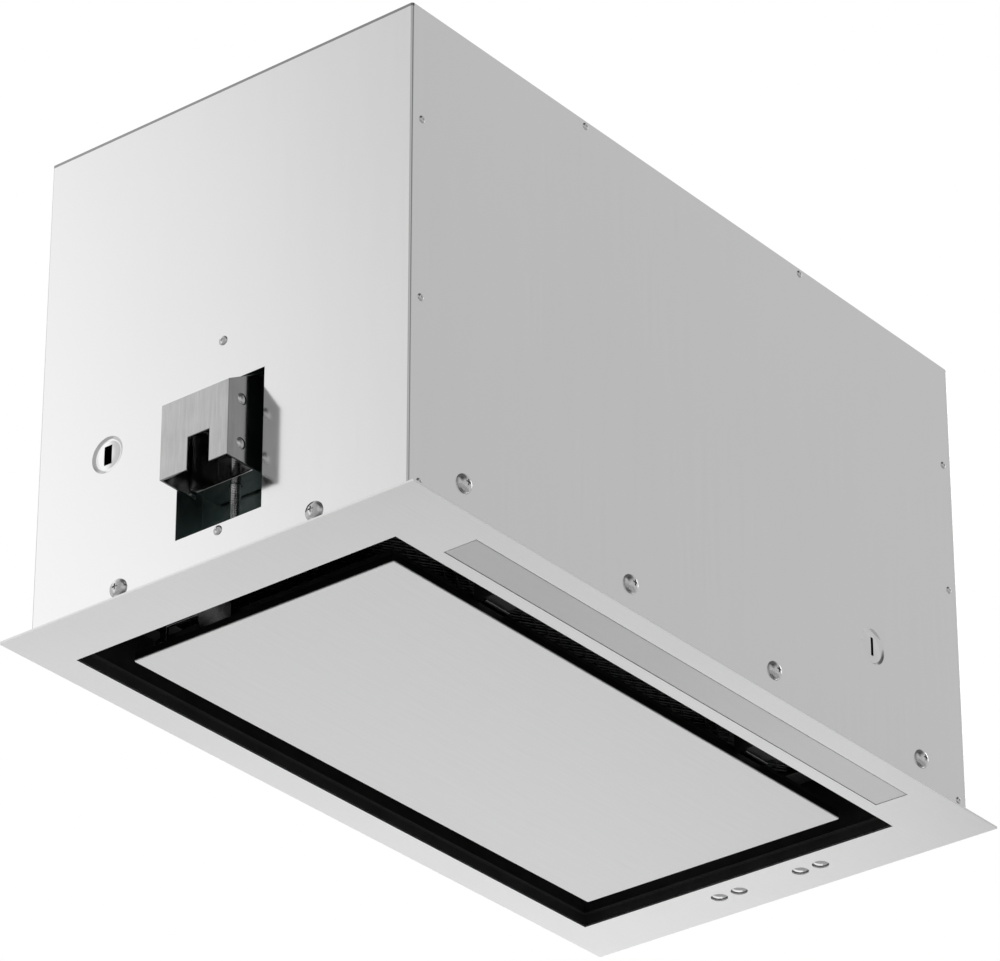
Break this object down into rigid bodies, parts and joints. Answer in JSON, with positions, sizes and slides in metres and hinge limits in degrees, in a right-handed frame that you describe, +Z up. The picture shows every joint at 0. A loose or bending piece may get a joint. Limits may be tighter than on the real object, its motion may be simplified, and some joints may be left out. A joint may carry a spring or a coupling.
{
  "type": "ceiling range hood",
  "caption": "Built-in ceiling range hood: boxed steel body over a flush frame, with a hinged perimeter suction panel, strip light, push buttons, side clamps and a round duct outlet.",
  "frame": {"origin": "centre of the frame's lower face, where the hood meets the room", "axes": "+Z up into the cabinet, +X towards the end with the push buttons, -Y towards the light"},
  "size_m": [0.539, 0.285, 0.345],
  "materials": {
    "frame_steel": "fine brushed stainless steel, satin",
    "body_steel": "bright rolled sheet steel, semi-polished",
    "dark_paint": "matt black powder coat",
    "plain_steel": "bright zinc plated, satin",
    "galvanised_steel": "galvanised, dull",
    "fastener_steel": "bright zinc plated",
    "filter_aluminium": "layered expanded mesh in a folded frame",
    "motor_casting": "as cast, dull",
    "lens_diffuser": "opal diffuser, satin",
    "button_chrome": "satin metal cap",
    "black_plastic": "moulded, fine grain",
    "circuit_board": "solder mask",
    "terminal_plastic": "moulded"
  },
  "bodies": {
    "housing": {"trim_frame": "frame_steel", "left_end_panel": "body_steel", "right_end_panel": "body_steel", "front_panel": "body_steel", "rear_panel": "body_steel", "top_panel": "body_steel", "flange_screws": "fastener_steel", "body_rivets": "fastener_steel", "guide_screws": "fastener_steel", "suction_box": "dark_paint", "plenum_deck": "galvanised_steel", "filter_rails": "dark_paint", "grease_filter_frame": "filter_aluminium", "grease_filter_mesh": "filter_aluminium", "filter_handle": "fastener_steel", "magnet_catches": "black_plastic", "hinge_brackets": "plain_steel", "light_lens": "lens_diffuser", "light_housing": "galvanised_steel", "light_board": "circuit_board", "light_driver": "black_plastic", "control_housing": "black_plastic", "control_board": "circuit_board", "left_clamp_guide": "galvanised_steel", "right_clamp_guide": "galvanised_steel", "blower_housing": "galvanised_steel", "inlet_rings": "galvanised_steel", "blower_motor": "motor_casting", "motor_bracket": "galvanised_steel", "blower_feet": "galvanised_steel", "electronics_box": "galvanised_steel", "electronics_cover": "galvanised_steel", "terminal_block": "terminal_plastic", "run_capacitor": "black_plastic", "outlet_duct": "galvanised_steel", "outlet_collar": "body_steel", "damper_shaft": "fastener_steel"},
    "panel": {"suction_panel": "frame_steel", "panel_carrier": "dark_paint", "panel_hinge_pins": "fastener_steel", "strike_plates": "plain_steel"},
    "light_button": {"light_button": "button_chrome"},
    "low_speed_button": {"low_speed_button": "button_chrome"},
    "high_speed_button": {"high_speed_button": "button_chrome"},
    "power_button": {"power_button": "button_chrome"},
    "latch": {"filter_latch": "black_plastic"},
    "fan": {"impeller": "black_plastic", "motor_shaft": "fastener_steel"},
    "front_flap": {"front_damper_flap": "black_plastic"},
    "rear_flap": {"rear_damper_flap": "black_plastic"},
    "left_screw": {"left_clamp_screw": "fastener_steel"},
    "left_carriage": {"left_clamp_carriage": "plain_steel", "left_clamp_nut": "fastener_steel"},
    "left_bracket": {"left_clamp_bracket": "plain_steel", "left_clamp_rivets": "fastener_steel"},
    "right_screw": {"right_clamp_screw": "fastener_steel"},
    "right_carriage": {"right_clamp_carriage": "plain_steel", "right_clamp_nut": "fastener_steel"},
    "right_bracket": {"right_clamp_bracket": "plain_steel", "right_clamp_rivets": "fastener_steel"}
  },
  "joints": [
    {"name": "panel_hinge", "type": "hinge", "parent": "housing", "child": "panel", "pos_m": [0, 0.088, 0.008], "axis": [1, 0, 0], "range_deg": [0, 90]},
    {"name": "light_button_press", "type": "slide", "parent": "housing", "child": "light_button", "axis": [0, 0, 1], "range_m": [0, 0.0015], "stiffness_N_per_m": 300, "springref_m": -0.001},
    {"name": "low_speed_button_press", "type": "slide", "parent": "housing", "child": "low_speed_button", "axis": [0, 0, 1], "range_m": [0, 0.0015], "stiffness_N_per_m": 300, "springref_m": -0.001},
    {"name": "high_speed_button_press", "type": "slide", "parent": "housing", "child": "high_speed_button", "axis": [0, 0, 1], "range_m": [0, 0.0015], "stiffness_N_per_m": 300, "springref_m": -0.001},
    {"name": "power_button_press", "type": "slide", "parent": "housing", "child": "power_button", "axis": [0, 0, 1], "range_m": [0, 0.0015], "stiffness_N_per_m": 300, "springref_m": -0.001},
    {"name": "latch_slide", "type": "slide", "parent": "housing", "child": "latch", "axis": [0, 1, 0], "range_m": [0, 0.004], "stiffness_N_per_m": 300, "springref_m": -0.003},
    {"name": "impeller_spin", "type": "hinge", "parent": "housing", "child": "fan", "pos_m": [0, -0.01, 0.168], "axis": [1, 0, 0], "continuous": true},
    {"name": "front_flap_hinge", "type": "hinge", "parent": "housing", "child": "front_flap", "pos_m": [0, 0.035, 0.318], "axis": [-1, 0, 0], "range_deg": [0, 78]},
    {"name": "rear_flap_hinge", "type": "hinge", "parent": "housing", "child": "rear_flap", "pos_m": [0, 0.035, 0.318], "axis": [1, 0, 0], "range_deg": [0, 78]},
    {"name": "left_screw_turn", "type": "hinge", "parent": "housing", "child": "left_screw", "pos_m": [-0.236, -0.0015, 0.08], "axis": [0, 0, 1], "range_deg": [0, 7920]},
    {"name": "left_carriage_slide", "type": "slide", "parent": "housing", "child": "left_carriage", "axis": [0, 0, -1], "range_m": [0, 0.022]},
    {"name": "left_bracket_slide", "type": "slide", "parent": "left_carriage", "child": "left_bracket", "axis": [1, 0, 0], "range_m": [0, 0.017], "stiffness_N_per_m": 400, "springref_m": -0.006},
    {"name": "right_screw_turn", "type": "hinge", "parent": "housing", "child": "right_screw", "pos_m": [0.236, -0.0015, 0.08], "axis": [0, 0, 1], "range_deg": [0, 7920]},
    {"name": "right_carriage_slide", "type": "slide", "parent": "housing", "child": "right_carriage", "axis": [0, 0, -1], "range_m": [0, 0.022]},
    {"name": "right_bracket_slide", "type": "slide", "parent": "right_carriage", "child": "right_bracket", "axis": [-1, 0, 0], "range_m": [0, 0.017], "stiffness_N_per_m": 400, "springref_m": -0.006}
  ],
  "couplings": [
    {"joint": "left_screw_turn", "follows": "left_carriage_slide", "rad_per_m": 6283.2},
    {"joint": "right_screw_turn", "follows": "right_carriage_slide", "rad_per_m": 6283.2}
  ]
}
